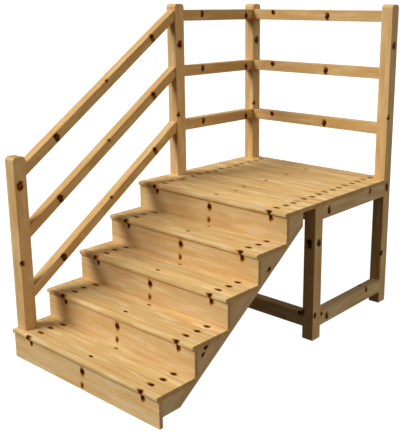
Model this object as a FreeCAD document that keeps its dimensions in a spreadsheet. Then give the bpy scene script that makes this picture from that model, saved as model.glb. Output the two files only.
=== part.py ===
import FreeCAD, Part
import os
import re
import Sketcher

# A timber mounting block: a straight flight of five rises up to a platform on four legs, with a
# three-bar railing up the climber's left side and round the left and the back of the platform.
# +X points to the climber's right, +Y the way the climber goes up, +Z up. Millimetres.
# Formulas measure from a setting-out point: on the ground, at the outer left end of the bottom
# riser's front face. The finished block is moved so that its origin is the middle of its footprint.

RISES = 5
TREADS = RISES - 1
DECK_BOARDS = 5
RAILS = ["top", "middle", "bottom"]

# Driving dimensions: the cell's name, its value, and what it is.
SIZES = [
    ("width", 1146, "outside width of the flight and the platform"),
    ("rise", 165, "height of one step"),
    ("going", 237, "depth of one step, riser face to riser face"),
    ("nosing", 12, "how far a tread stands out over the riser below it"),
    ("board", 25, "thickness of treads and deck boards"),
    ("riser", 22, "thickness of the risers"),
    ("nosing_round", 4, "rounding of the upper front edge of treads and deck"),
    ("nosing_under_round", 11, "rounding of the lower front edge of treads and deck"),
    ("deck_board", 212, "width of each deck board behind the front one"),
    ("post", 75, "side of the square posts and legs"),
    ("post_round", 21, "rounding of the front and back edges of the post tops"),
    ("post_set_back", 263, "top riser's face to the front of the platform posts"),
    ("post_over_deck", 1067, "deck to the top of the platform posts"),
    ("newel_over_tread", 959, "bottom tread to the top of the newel post"),
    ("top_rail", 1031, "deck to the upper edge of the top rail"),
    ("rail_pitch", 341, "upper edge of one rail to the next"),
    ("rail_deep", 66, "upright depth of a rail"),
    ("rail_thick", 60, "thickness of a rail"),
    ("cheek", 38, "thickness of the two outer stringers, the cheeks"),
    ("cheek_waist", 40, "foot of a riser's face down to the underside of a cheek"),
    ("cheek_lift", 54, "ground to the lower ends of the cheeks"),
    ("cheek_gap", 117, "upper ends of the cheeks to the platform posts"),
    ("carriage", 45, "thickness of the middle stringer"),
    ("carriage_waist", 120, "foot of a riser's face down to the middle stringer's underside"),
    ("apron_deep", 80, "depth of the members under the deck"),
    ("apron_thick", 45, "thickness of the members under the deck"),
    ("stretcher_deep", 85, "depth of the low stretchers"),
    ("stretcher_thick", 60, "thickness of the low stretchers"),
    ("stretcher_lift", 75, "ground to the underside of the stretchers"),
    ("tenon_thick", 20, "thickness of every tenon"),
    ("tenon_long", 25, "how far a tenon goes into a post"),
    ("short_tenon", 18, "how far a tenon goes into an apron"),
    ("shoulder", 12, "edge of a tenon to the edge of its rail"),
    ("tie_room", 8, "a post's inner face to the outer face of the tie beside it"),
    ("notch_gap", 1, "room round a post where the deck is notched"),
    ("angle_leg", 40, "leg of the steel angle cleats"),
    ("angle_long", 30, "length of the steel angle cleats"),
    ("angle_thick", 3, "thickness of the steel angle cleats"),
    ("angle_room", 13, "newel's tail to the cleat behind it, and the same on every step"),
    ("screw", 5, "shank of the cleat screws"),
    ("screw_long", 18, "length of the cleat screws under the head"),
    ("screw_head", 9, "head of the cleat screws, across"),
    ("screw_head_high", 3, "head of the cleat screws, height"),
    ("hole_room", 0.4, "how much wider and deeper a hole is than what goes in it"),
    ("bolt", 10, "shank of the coach bolts and coach screws"),
    ("bolt_head", 24, "domed head of the coach bolts, across"),
    ("bolt_head_high", 5, "domed head of the coach bolts, height"),
    ("nut", 17, "nuts and hexagon heads, across the flats"),
    ("nut_high", 8, "nuts and hexagon heads, height"),
    ("washer", 24, "washers, across"),
    ("washer_thick", 2, "washers, thickness"),
    ("bolt_spare", 3, "thread that shows past a nut"),
    ("bolt_edge", 26, "bolt's centre to the nearest end or edge of its timber"),
    ("coach_screw_bite", 23, "how far the coach screws go into a cheek"),
    ("glue_block", 28, "sides of the three-cornered blocks behind the risers"),
    ("glue_block_long", 70, "length of those blocks"),
]

# Places that follow from the driving dimensions.
PLACES = {
    "deck_top": f"({RISES} * rise)",
    "deck_under": "(deck_top - board)",
    "top_riser": f"({TREADS} * going)",
    "front_board_back": f"({RISES} * going)",
    "deck_back": f"(front_board_back + {DECK_BOARDS - 1} * deck_board)",
    "leg_front": "(top_riser + post_set_back)",
    "leg_back": "(leg_front + post)",
    "back_front": "(deck_back - post)",
    "right_post": "(width - post)",
    "apron_under": "(deck_under - apron_deep)",
    "cheek_end": "(leg_front - cheek_gap)",
    "newel_back": "(riser + post)",
    "slope": "(rise / going)",
    "rail_inset": "((post - rail_thick) / 2)",
    "middle": "(width / 2)",
    "tie_outer": "(post + tie_room)",
    "tie_inner": "(tie_outer + apron_thick)",
    "packer_thick": "(tie_outer - cheek)",
}

# The finished block's origin, from the setting-out point.
ORIGIN = ("middle", "(deck_back - nosing) / 2", "0")

ALIASES = {word for word, size, meaning in SIZES}

doc = FreeCAD.newDocument("MountingBlock")
sheet = doc.addObject("Spreadsheet::Sheet", "Sizes")
for row, (word, size, meaning) in enumerate(SIZES, start=1):
    sheet.set(f"A{row}", meaning)
    sheet.set(f"B{row}", str(size))
    sheet.setAlias(f"B{row}", word)
doc.recompute()

# Every finished sub-part, and the formulas of the corner that each timber is placed by.
nodes = []
corners_of = {}


def formula(text):
    """Write a formula in plain words out as an expression on the sheet's cells."""
    text = str(text)
    while any(word in PLACES for word in re.findall(r"[a-z_]+", text)):
        text = re.sub(r"[a-z_]+", lambda found: PLACES.get(found.group(), found.group()), text)
    return re.sub(
        r"[a-z_]+",
        lambda found: f"Sizes.{found.group()}" if found.group() in ALIASES else found.group(),
        text,
    )


def value(text):
    """Give what a formula comes to, in millimetres."""
    return float(sheet.evalExpression(formula(text)))


def point(texts):
    """Give the point that three formulas come to."""
    return FreeCAD.Vector(*[value(text) for text in texts])


def bind(thing, prop, text):
    """Tie one property of an object to a formula."""
    thing.setExpression(prop, formula(text))


def new_body(name, corner):
    """Start a body whose own origin stands at a corner given by three formulas."""
    body = doc.addObject("PartDesign::Body", name)
    body.Label = name
    for axis, text, centre in zip("xyz", corner, ORIGIN):
        bind(body, f"Placement.Base.{axis}", f"{text} - {centre}")
    corners_of[name] = corner
    nodes.append(body)
    return body


def extruded(body, role, outline, length):
    """Pad a closed outline, drawn on one of the body's own planes, by a length."""
    sketch = body.newObject("Sketcher::SketchObject", f"{body.Name}_outline")
    plane = next(part for part in body.Origin.OriginFeatures if part.Role == role)
    sketch.AttachmentSupport = [(plane, "")]
    sketch.MapMode = "FlatFace"
    spots = [FreeCAD.Vector(value(across), value(up), 0) for across, up in outline]
    for i, spot in enumerate(spots):
        sketch.addGeometry(Part.LineSegment(spot, spots[(i + 1) % len(spots)]), False)
    for i in range(len(spots)):
        after = (i + 1) % len(spots)
        sketch.addConstraint(Sketcher.Constraint("Coincident", i, 2, after, 1))
    for i, (across, up) in enumerate(outline):
        tie_vertex(sketch, i, "DistanceX", -2, across)
        tie_vertex(sketch, i, "DistanceY", -1, up)
    pad = body.newObject("PartDesign::Pad", f"{body.Name}_pad")
    pad.Profile = sketch
    bind(pad, "Length", length)
    doc.recompute()
    return pad


def tie_vertex(sketch, line, kind, axis, text):
    """Hold the start of a sketch line on an axis, or at a formula's distance from the origin."""
    if text == "0":
        sketch.addConstraint(Sketcher.Constraint("PointOnObject", line, 1, axis))
        return
    number = sketch.addConstraint(Sketcher.Constraint(kind, -1, 1, line, 1, value(text)))
    bind(sketch, f"Constraints[{number}]", text)


def timber(name, corner, size):
    """Make a straight squared timber from its lowest corner and its size along X, Y and Z."""
    along_x, along_y, along_z = size
    body = new_body(name, corner)
    rectangle = [("0", "0"), (along_x, "0"), (along_x, along_y), ("0", along_y)]
    extruded(body, "XY_Plane", rectangle, along_z)
    return body


def block(body, kind, name, low, size):
    """Add a block to a body, or cut one from it, at a corner given from the setting-out point."""
    feature = body.newObject(f"PartDesign::{kind}Box", name)
    for prop, text in zip(("Length", "Width", "Height"), size):
        bind(feature, prop, text)
    for axis, text, start in zip("xyz", low, corners_of[body.Name]):
        bind(feature, f"Placement.Base.{axis}", f"{text} - ({start})")
    return feature


def drill(body, start, direction, width, depth):
    """Drill a round hole into a body from a point given from the setting-out point."""
    count = sum(1 for part in body.Group if part.isDerivedFrom("PartDesign::SubtractiveCylinder"))
    feature = body.newObject("PartDesign::SubtractiveCylinder", f"{body.Name}_hole_{count + 1}")
    bind(feature, "Radius", f"({width} + hole_room) / 2")
    bind(feature, "Height", f"{depth} + hole_room")
    turn = FreeCAD.Rotation(FreeCAD.Vector(0, 0, 1), direction)
    feature.Placement = FreeCAD.Placement(FreeCAD.Vector(0, 0, 0), turn)
    for axis, text, first in zip("xyz", start, corners_of[body.Name]):
        bind(feature, f"Placement.Base.{axis}", f"{text} - ({first})")
    return feature


def round_edges(body, radius, wanted):
    """Round the edges of a body that answer to a test on their two ends."""
    base = body.Tip
    names = []
    for number, edge in enumerate(base.Shape.Edges, start=1):
        if wanted(edge.Vertexes[0].Point, edge.Vertexes[-1].Point):
            names.append(f"Edge{number}")
    fillet = body.newObject("PartDesign::Fillet", f"{body.Name}_round")
    fillet.Base = (base, names)
    bind(fillet, "Radius", radius)
    doc.recompute()


def joint(rail, post, name, low, size):
    """Give a rail a tenon and its post the mortise that takes it."""
    block(rail, "Additive", f"{name}_tenon", low, size)
    block(post, "Subtractive", f"{name}_mortise", low, size)


# ---- Posts ---------------------------------------------------------------------------------


def upright(name, corner, height):
    """Make a square post with a rounded top."""
    body = timber(name, corner, ("post", "post", height))
    top = value(height)
    round_edges(
        body,
        "post_round",
        lambda a, b: min(a.z, b.z) > top - 0.1 and abs(a.y - b.y) < 0.1,
    )
    return body


full_height = "deck_top + post_over_deck"
front_left_post = upright("front_left_post", ("0", "leg_front", "0"), full_height)
back_left_post = upright("back_left_post", ("0", "back_front", "0"), full_height)
back_right_post = upright("back_right_post", ("right_post", "back_front", "0"), full_height)
front_right_leg = timber(
    "front_right_leg", ("right_post", "leg_front", "0"), ("post", "post", "deck_under")
)
newel_post = upright("newel_post", ("0", "riser", "rise"), "newel_over_tread")

# The newel stands on the bottom tread and sends a tail down through it, inside the left cheek.
block(
    newel_post,
    "Additive",
    "newel_tail",
    ("cheek", "riser", "cheek_lift"),
    ("post - cheek", "post", "rise - cheek_lift"),
)

# ---- The flight ----------------------------------------------------------------------------


def cheek(name, x):
    """Make an outer stringer: stepped above, cut parallel to the pitch below."""
    outline = [
        ("riser", "cheek_lift"),
        ("(cheek_lift + cheek_waist) / slope", "cheek_lift"),
        ("cheek_end", "cheek_end * slope - cheek_waist"),
        ("cheek_end", "deck_under"),
    ]
    for step in range(TREADS, 0, -1):
        outline += [
            (f"{step} * going + riser", f"{step + 1} * rise - board"),
            (f"{step} * going + riser", f"{step} * rise"),
            (f"{step} * going", f"{step} * rise"),
            (f"{step} * going", f"{step} * rise - board"),
        ]
    outline.append(("riser", "rise - board"))
    body = new_body(name, (x, "0", "0"))
    extruded(body, "YZ_Plane", outline, "cheek")
    return body


left_cheek = cheek("left_cheek", "0")
right_cheek = cheek("right_cheek", "width - cheek")


def middle_carriage():
    """Make the middle stringer, which stands on the ground and reaches to the front apron."""
    outline = [
        ("riser", "0"),
        ("carriage_waist / slope", "0"),
        ("leg_front", "leg_front * slope - carriage_waist"),
        ("leg_front", "deck_under"),
    ]
    for step in range(TREADS, 0, -1):
        outline += [
            (f"{step} * going + riser", f"{step + 1} * rise - board"),
            (f"{step} * going + riser", f"{step} * rise - board"),
        ]
    outline.append(("riser", "rise - board"))
    body = new_body("centre_carriage", ("middle - carriage / 2", "0", "0"))
    extruded(body, "YZ_Plane", outline, "carriage")
    return body


centre_carriage = middle_carriage()


def round_nosing(body):
    """Round the front edges of a tread or the front deck board, the lower one the more."""
    round_edges(
        body,
        "nosing_round",
        lambda a, b: max(a.y, b.y) < 0.1 and min(a.z, b.z) > 0.1 and abs(a.z - b.z) < 0.1,
    )
    round_edges(
        body,
        "nosing_under_round",
        lambda a, b: max(a.y, b.y) < 0.1 and max(a.z, b.z) < 0.1,
    )


def tread(step):
    """Make a tread, notched round the cheeks where it runs on under the next riser."""
    depth = "nosing + going"
    outline = [
        ("0", "0"),
        ("width", "0"),
        ("width", depth),
        ("width - cheek", depth),
        ("width - cheek", f"{depth} + riser"),
        ("cheek", f"{depth} + riser"),
        ("cheek", depth),
        ("0", depth),
    ]
    corner = ("0", f"{step - 1} * going - nosing", f"{step} * rise - board")
    body = new_body(f"tread_{step}", corner)
    extruded(body, "XY_Plane", outline, "board")
    round_nosing(body)
    return body


treads = [tread(step) for step in range(1, TREADS + 1)]
block(
    treads[0],
    "Subtractive",
    "newel_slot",
    ("cheek", "riser", "rise - board"),
    ("post - cheek", "post", "board"),
)

for step in range(1, RISES + 1):
    timber(
        f"riser_{step}",
        ("0", f"{step - 1} * going", f"{step - 1} * rise"),
        ("width", "riser", "rise - board"),
    )

# ---- The platform --------------------------------------------------------------------------


def deck_board(number):
    """Make a deck board: the front one is a tread's width, and all are notched round the posts."""
    start = "top_riser - nosing" if number == 1 else f"front_board_back + {number - 2} * deck_board"
    depth = "going + nosing" if number == 1 else "deck_board"
    body = timber(f"deck_board_{number}", ("0", start, "deck_under"), ("width", depth, "board"))
    if number == 1:
        round_nosing(body)
    first, last = value(start), value(f"{start} + {depth}")
    for post, x, y in (
        ("front_left", "0 - notch_gap", "leg_front - notch_gap"),
        ("back_left", "0 - notch_gap", "back_front - notch_gap"),
        ("back_right", "right_post - notch_gap", "back_front - notch_gap"),
    ):
        if first < value(f"{y} + post + 2 * notch_gap") and last > value(y):
            notch = ("post + 2 * notch_gap", "post + 2 * notch_gap", "board")
            block(body, "Subtractive", f"{post}_notch_{number}", (x, y, "deck_under"), notch)
    return body


deck = [deck_board(number) for number in range(1, DECK_BOARDS + 1)]

across = "right_post - post"
along = "back_front - leg_back"
front_apron = timber(
    "front_apron", ("post", "leg_front", "apron_under"), (across, "apron_thick", "apron_deep")
)
back_apron = timber(
    "back_apron",
    ("post", "deck_back - apron_thick", "apron_under"),
    (across, "apron_thick", "apron_deep"),
)
left_apron = timber(
    "left_apron", ("0", "leg_back", "apron_under"), ("apron_thick", along, "apron_deep")
)
right_apron = timber(
    "right_apron",
    ("width - apron_thick", "leg_back", "apron_under"),
    ("apron_thick", along, "apron_deep"),
)
front_stretcher = timber(
    "front_stretcher",
    ("post", "leg_front", "stretcher_lift"),
    (across, "stretcher_thick", "stretcher_deep"),
)
left_stretcher = timber(
    "left_stretcher",
    ("0", "leg_back", "stretcher_lift"),
    ("stretcher_thick", along, "stretcher_deep"),
)
right_stretcher = timber(
    "right_stretcher",
    ("width - stretcher_thick", "leg_back", "stretcher_lift"),
    ("stretcher_thick", along, "stretcher_deep"),
)
deck_joist = timber(
    "deck_joist",
    ("middle - apron_thick / 2", "leg_front + apron_thick", "apron_under"),
    ("apron_thick", "deck_back - leg_front - 2 * apron_thick", "apron_deep"),
)
tie_front = "top_riser + riser"
tie_size = ("apron_thick", f"leg_front - ({tie_front})", "apron_deep")
left_tie = timber("left_tie", ("tie_outer", tie_front, "apron_under"), tie_size)
right_tie = timber("right_tie", ("width - tie_inner", tie_front, "apron_under"), tie_size)

# A packer fills the room between each tie and its cheek, and ends flush with the cheek.
packer_size = ("packer_thick", f"cheek_end - ({tie_front})", "apron_deep")
left_packer = timber("left_packer", ("cheek", tie_front, "apron_under"), packer_size)
right_packer = timber(
    "right_packer", ("width - tie_outer", tie_front, "apron_under"), packer_size
)


def joints_across(member, low_z, deep, y, left, right):
    """Tenon both ends of a member that runs across, into the posts at its left and right."""
    size = ("tenon_long", "tenon_thick", f"{deep} - 2 * shoulder")
    z = f"{low_z} + shoulder"
    joint(member, left, f"{member.Name}_left", ("post - tenon_long", y, z), size)
    joint(member, right, f"{member.Name}_right", ("right_post", y, z), size)


def joints_along(member, low_z, deep, x, front, back):
    """Tenon both ends of a member that runs front to back, into the posts before and behind it."""
    size = ("tenon_thick", "tenon_long", f"{deep} - 2 * shoulder")
    z = f"{low_z} + shoulder"
    joint(member, front, f"{member.Name}_front", (x, "leg_back - tenon_long", z), size)
    joint(member, back, f"{member.Name}_back", (x, "back_front", z), size)


apron_set = "(apron_thick - tenon_thick) / 2"
stretcher_set = "(stretcher_thick - tenon_thick) / 2"
rail_set = "(post - tenon_thick) / 2"
low_deep = ("stretcher_lift", "stretcher_deep")
high_deep = ("apron_under", "apron_deep")

joints_across(
    front_apron, *high_deep, f"leg_front + {apron_set}", front_left_post, front_right_leg
)
joints_across(
    back_apron,
    *high_deep,
    f"deck_back - apron_thick + {apron_set}",
    back_left_post,
    back_right_post,
)
joints_across(
    front_stretcher, *low_deep, f"leg_front + {stretcher_set}", front_left_post, front_right_leg
)
joints_along(left_apron, *high_deep, apron_set, front_left_post, back_left_post)
joints_along(
    right_apron, *high_deep, f"width - apron_thick + {apron_set}", front_right_leg, back_right_post
)
joints_along(left_stretcher, *low_deep, stretcher_set, front_left_post, back_left_post)
joints_along(
    right_stretcher,
    *low_deep,
    f"width - stretcher_thick + {stretcher_set}",
    front_right_leg,
    back_right_post,
)

# The joist and the middle stringer are tenoned into the aprons' faces.
joist_size = ("tenon_thick", "short_tenon", "apron_deep - 2 * shoulder")
joist_x, joist_z = "middle - tenon_thick / 2", "apron_under + shoulder"
joint(
    deck_joist,
    front_apron,
    "joist_front",
    (joist_x, "leg_front + apron_thick - short_tenon", joist_z),
    joist_size,
)
joint(
    deck_joist, back_apron, "joist_back", (joist_x, "deck_back - apron_thick", joist_z), joist_size
)
joint(centre_carriage, front_apron, "carriage_top", (joist_x, "leg_front", joist_z), joist_size)

# ---- The railing ---------------------------------------------------------------------------

tenon_deep = "rail_deep - 2 * shoulder"
for level, word in enumerate(RAILS):
    upper = f"(deck_top + top_rail - {level} * rail_pitch)"
    under = f"({upper} - rail_deep)"
    foot = f"({upper} - (leg_front - newel_back) * slope)"

    sloping = new_body(f"stair_rail_{word}", ("rail_inset", "0", "0"))
    slanted = [
        ("newel_back", f"{foot} - rail_deep"),
        ("leg_front", under),
        ("leg_front", upper),
        ("newel_back", foot),
    ]
    extruded(sloping, "YZ_Plane", slanted, "rail_thick")
    size = ("tenon_thick", "tenon_long", tenon_deep)
    joint(
        sloping,
        newel_post,
        f"stair_rail_{word}_foot",
        (rail_set, "newel_back - tenon_long", f"{foot} - rail_deep + shoulder"),
        size,
    )
    joint(
        sloping,
        front_left_post,
        f"stair_rail_{word}_head",
        (rail_set, "leg_front", f"{under} + shoulder"),
        size,
    )

    level_rail = timber(
        f"left_rail_{word}", ("rail_inset", "leg_back", under), ("rail_thick", along, "rail_deep")
    )
    joints_along(level_rail, under, "rail_deep", rail_set, front_left_post, back_left_post)

    rear_rail = timber(
        f"back_rail_{word}",
        ("post", "back_front + rail_inset", under),
        (across, "rail_thick", "rail_deep"),
    )
    joints_across(
        rear_rail,
        under,
        "rail_deep",
        f"back_front + {rail_set}",
        back_left_post,
        back_right_post,
    )

# ---- Fixings, out of sight -----------------------------------------------------------------

LEFTWARD = FreeCAD.Vector(-1, 0, 0)
RIGHTWARD = FreeCAD.Vector(1, 0, 0)
BACKWARD = FreeCAD.Vector(0, 1, 0)
FORWARD = FreeCAD.Vector(0, -1, 0)
UPWARD = FreeCAD.Vector(0, 0, 1)
DOWNWARD = FreeCAD.Vector(0, 0, -1)


def group(name, solids):
    """Keep a set of like fixings, each a solid of its own, as one sub-part."""
    feature = doc.addObject("Part::Feature", name)
    feature.Label = name
    feature.Shape = Part.makeCompound(solids)
    feature.Placement = FreeCAD.Placement(point(ORIGIN) * -1, FreeCAD.Rotation())
    nodes.append(feature)


def slab(corner, one, two, three):
    """Make a rectangular solid from a corner and its three edges as vectors."""
    far = corner + one + two + three
    low = FreeCAD.Vector(min(corner.x, far.x), min(corner.y, far.y), min(corner.z, far.z))
    side = far - corner
    return Part.makeBox(abs(side.x), abs(side.y), abs(side.z), low)


def offset(corner, moves):
    """Add a formula's distance, along one direction each, to a corner given by formulas."""
    texts = list(corner)
    for direction, text in moves:
        for i in range(3):
            if direction[i] > 0:
                texts[i] = f"{texts[i]} + {text}"
            elif direction[i] < 0:
                texts[i] = f"{texts[i]} - ({text})"
    return tuple(texts)


def screw_at(start, direction):
    """Make a round-head screw: start is under its head, direction the way it is driven."""
    head_start = start - direction * value("screw_head_high")
    head = Part.makeCylinder(value("screw_head / 2"), value("screw_head_high"), head_start, direction)
    shank = Part.makeCylinder(value("screw / 2"), value("screw_long"), start, direction)
    return head.fuse(shank).removeSplitter()


def cleat(corner, one, two, along_it, first, second):
    """Make an angle cleat in a corner, its two screws, and the holes in the two timbers.

    One leg lies along direction one against the first timber, the other along direction two
    against the second, so the screws are driven against direction two and direction one.
    """
    start = point(corner)
    leg, thick, length = value("angle_leg"), value("angle_thick"), value("angle_long")
    plate = slab(start, one * leg, two * thick, along_it * length)
    web = slab(start, one * thick, two * leg, along_it * length)
    angle = plate.fuse(web).removeSplitter()
    screws = []
    for away, through, wood in ((one, two, first), (two, one, second)):
        spot = [(away, "0.6 * angle_leg"), (along_it, "angle_long / 2")]
        on_wood = offset(corner, spot)
        hole = Part.makeCylinder(value("(screw + hole_room) / 2"), thick, point(on_wood), through)
        angle = angle.cut(hole)
        screws.append(screw_at(point(on_wood) + through * thick, through * -1))
        drill(wood, on_wood, through * -1, "screw", "screw_long - angle_thick")
    return angle, screws


def cleats(name, places):
    """Make one group of cleats and one of their screws."""
    angles = []
    screws = []
    for place in places:
        angle, pair = cleat(*place)
        angles.append(angle)
        screws += pair
    group(f"{name}_angles", angles)
    group(f"{name}_angle_screws", screws)


def pair_of_cleats(y, z, inset, board, left, right):
    """Give the cleats under the two ends of a board, on the inner faces of two timbers."""
    return [
        ((inset, y, z), RIGHTWARD, DOWNWARD, BACKWARD, board, left),
        ((f"width - {inset}", y, z), LEFTWARD, DOWNWARD, BACKWARD, board, right),
    ]


tread_places = []
for step, board in enumerate(treads, start=1):
    y, z = f"{step - 1} * going + newel_back + angle_room", f"{step} * rise - board"
    tread_places += pair_of_cleats(y, z, "cheek", board, left_cheek, right_cheek)
cleats("tread", tread_places)

deck_places = pair_of_cleats(
    "cheek_end + shoulder", "deck_under", "tie_inner", deck[0], left_tie, right_tie
)
middle_of_board = "(deck_board - angle_long) / 2"
for number, y in (
    (2, "leg_back + angle_long"),
    (3, f"front_board_back + deck_board + {middle_of_board}"),
    (4, f"front_board_back + 2 * deck_board + {middle_of_board}"),
    (5, "back_front - 2 * angle_long"),
):
    deck_places += pair_of_cleats(
        y, "deck_under", "apron_thick", deck[number - 1], left_apron, right_apron
    )
cleats("deck", deck_places)

tie_z = "apron_under + (apron_deep - angle_long) / 2"
cleats(
    "tie",
    [
        ((x, "leg_front", tie_z), inward, FORWARD, UPWARD, front_apron, tie)
        for x, inward, tie in (
            ("tie_inner", RIGHTWARD, left_tie),
            ("width - tie_inner", LEFTWARD, right_tie),
        )
    ],
)


def hexagon(centre, direction):
    """Make a hexagonal nut or head that stands on a centre point."""
    corner_radius = value("nut") / 3 ** 0.5
    ring = [FreeCAD.Vector(corner_radius, 0, 0)]
    turn = FreeCAD.Rotation(UPWARD, 60)
    for i in range(6):
        ring.append(turn.multVec(ring[-1]))
    ring[-1] = ring[0]
    solid = Part.Face(Part.makePolygon(ring)).extrude(UPWARD * value("nut_high"))
    solid.Placement = FreeCAD.Placement(centre, FreeCAD.Rotation(UPWARD, direction))
    return solid


def washer_at(centre, direction):
    """Make a plain washer that stands on a centre point, its hole the shank's size."""
    disc = Part.makeCylinder(value("washer / 2"), value("washer_thick"), centre, direction)
    return disc.cut(Part.makeCylinder(value("bolt / 2"), value("washer_thick"), centre, direction))


# Two coach bolts hold the newel's tail to the left cheek, their heads sunk flush in the cheek.
newel_bolts = []
for y, z in (
    ("riser + bolt_edge", "rise - board - bolt_edge"),
    ("newel_back - bolt_edge", "cheek_lift + bolt_edge"),
):
    outer = ("0", y, z)
    drill(left_cheek, outer, RIGHTWARD, "bolt_head", "bolt_head_high")
    drill(left_cheek, outer, RIGHTWARD, "bolt", "cheek")
    drill(newel_post, ("cheek", y, z), RIGHTWARD, "bolt", "post - cheek")
    seat = point(("bolt_head_high", y, z))
    head = Part.makeCylinder(value("bolt_head / 2"), value("bolt_head_high"), point(outer), RIGHTWARD)
    reach = value("post - bolt_head_high + washer_thick + nut_high + bolt_spare")
    shank = Part.makeCylinder(value("bolt / 2"), reach, seat, RIGHTWARD)
    inner = point(("post", y, z))
    washer = washer_at(inner, RIGHTWARD)
    nut = hexagon(inner + RIGHTWARD * value("washer_thick"), RIGHTWARD).cut(shank)
    newel_bolts += [head.fuse(shank).removeSplitter(), washer, nut]
group("newel_bolts", newel_bolts)

# Two coach screws a side hold each tie, through its packer, to its cheek, from inside.
tie_screws = []
for outward, tie, packer, wood, faces in (
    (LEFTWARD, left_tie, left_packer, left_cheek, ("tie_inner", "tie_outer", "cheek")),
    (
        RIGHTWARD,
        right_tie,
        right_packer,
        right_cheek,
        ("width - tie_inner", "width - tie_outer", "width - cheek"),
    ),
):
    for y in (f"{tie_front} + bolt_edge", "cheek_end - bolt_edge"):
        z = "deck_under - apron_deep / 2"
        for body, face, deep in zip(
            (tie, packer, wood), faces, ("apron_thick", "packer_thick", "coach_screw_bite")
        ):
            drill(body, (face, y, z), outward, "bolt", deep)
        under_head = point((faces[0], y, z)) - outward * value("washer_thick")
        washer = washer_at(under_head, outward)
        reach = value("washer_thick + apron_thick + packer_thick + coach_screw_bite")
        shank = Part.makeCylinder(value("bolt / 2"), reach, under_head, outward)
        head = hexagon(under_head, outward * -1)
        tie_screws += [head.fuse(shank).removeSplitter(), washer]
group("tie_screws", tie_screws)

# Three-cornered blocks glued behind each riser, under the tread or the deck.
glue_blocks = []
for step in range(1, RISES + 1):
    back = value(f"{step - 1} * going + riser")
    under = value(f"{step} * rise - board")
    side = value("glue_block")
    for share in (1 / 5, 2 / 5, 3 / 5, 4 / 5):
        left_end = share * value("width") - value("glue_block_long / 2")
        ring = [
            FreeCAD.Vector(left_end, back, under),
            FreeCAD.Vector(left_end, back + side, under),
            FreeCAD.Vector(left_end, back, under - side),
            FreeCAD.Vector(left_end, back, under),
        ]
        face = Part.Face(Part.makePolygon(ring))
        glue_blocks.append(face.extrude(RIGHTWARD * value("glue_block_long")))
group("glue_blocks", glue_blocks)

# ---- Check and write -----------------------------------------------------------------------

doc.recompute()
faults = [
    f"{thing.Name}: {', '.join(thing.State)}"
    for thing in doc.Objects
    if {"Invalid", "Error"} & set(thing.State)
]
for node in nodes:
    if node.Shape.isNull() or not node.Shape.isValid() or not node.Shape.Solids:
        faults.append(f"{node.Label}: no valid solid")
if faults:
    raise RuntimeError("; ".join(faults))

os.makedirs("parts", exist_ok=True)
for node in nodes:
    node.Shape.exportStep(f"parts/{node.Label}.step")
    print(f"{node.Label}: {len(node.Shape.Solids)} solid(s), {node.Shape.Volume / 1000:.0f} cm3")
print(f"{len(nodes)} sub-parts")
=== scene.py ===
"""Looks of a pine mounting block: five steps up to a railed platform on four legs.

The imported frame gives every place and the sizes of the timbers. Each timber that shows is made
again with eased edges and real grain, and the steel fixings keep their frame shapes.
"""

import logging
import math
from dataclasses import dataclass, field
from enum import Enum
from typing import Iterable, Sequence

import bmesh
import bpy
from bmesh.types import BMEdge, BMesh, BMFace, BMVert
from bpy.types import ColorRamp, Material, Mesh, NodeSocket, NodeTree
from mathutils import Matrix, Vector


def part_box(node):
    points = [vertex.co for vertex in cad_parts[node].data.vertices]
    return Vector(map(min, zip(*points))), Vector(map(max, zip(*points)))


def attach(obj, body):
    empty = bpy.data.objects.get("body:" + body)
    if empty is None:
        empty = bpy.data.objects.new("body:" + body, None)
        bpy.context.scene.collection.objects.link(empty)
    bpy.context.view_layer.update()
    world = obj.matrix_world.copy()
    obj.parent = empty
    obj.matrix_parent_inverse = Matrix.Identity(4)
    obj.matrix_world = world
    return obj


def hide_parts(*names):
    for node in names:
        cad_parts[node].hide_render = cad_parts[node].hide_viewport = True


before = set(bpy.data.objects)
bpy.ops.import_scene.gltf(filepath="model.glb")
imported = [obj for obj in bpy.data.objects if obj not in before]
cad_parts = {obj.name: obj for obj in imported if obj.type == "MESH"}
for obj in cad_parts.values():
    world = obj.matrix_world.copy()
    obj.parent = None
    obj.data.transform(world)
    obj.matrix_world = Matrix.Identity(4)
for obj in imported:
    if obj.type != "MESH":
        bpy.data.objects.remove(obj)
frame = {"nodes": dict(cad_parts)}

LOG = logging.getLogger("mounting_block")
MM = 0.001

# Every timber stores this many knots. The ones that it doesn't have are put far away.
MOST_KNOTS = 6
NOWHERE = Vector((-9.0, -9.0, -9.0))

# Places that are less than this far apart, in metres, are level.
LEVEL = 1e-6

# The setting-out point: on the ground, at the outer left end of the bottom riser's face.
SETTING_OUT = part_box("riser_1")[0]


def at(x: float, y: float, z: float) -> Vector:
    """Give the place that lies x, y and z millimetres from the setting-out point, in metres."""
    return SETTING_OUT + Vector((x, y, z)) * MM


def linear(colour: str) -> tuple[float, float, float, float]:
    """Turn an sRGB hex colour into the linear colour that a shader works in.

    Args:
        colour: six hex digits, two each for red, green and blue.

    Returns:
        Red, green, blue and a full alpha.
    """
    parts = [int(colour[i : i + 2], 16) / 255 for i in (0, 2, 4)]
    shades = [c / 12.92 if c <= 0.04045 else ((c + 0.055) / 1.055) ** 2.4 for c in parts]
    return (*shades, 1.0)


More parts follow.
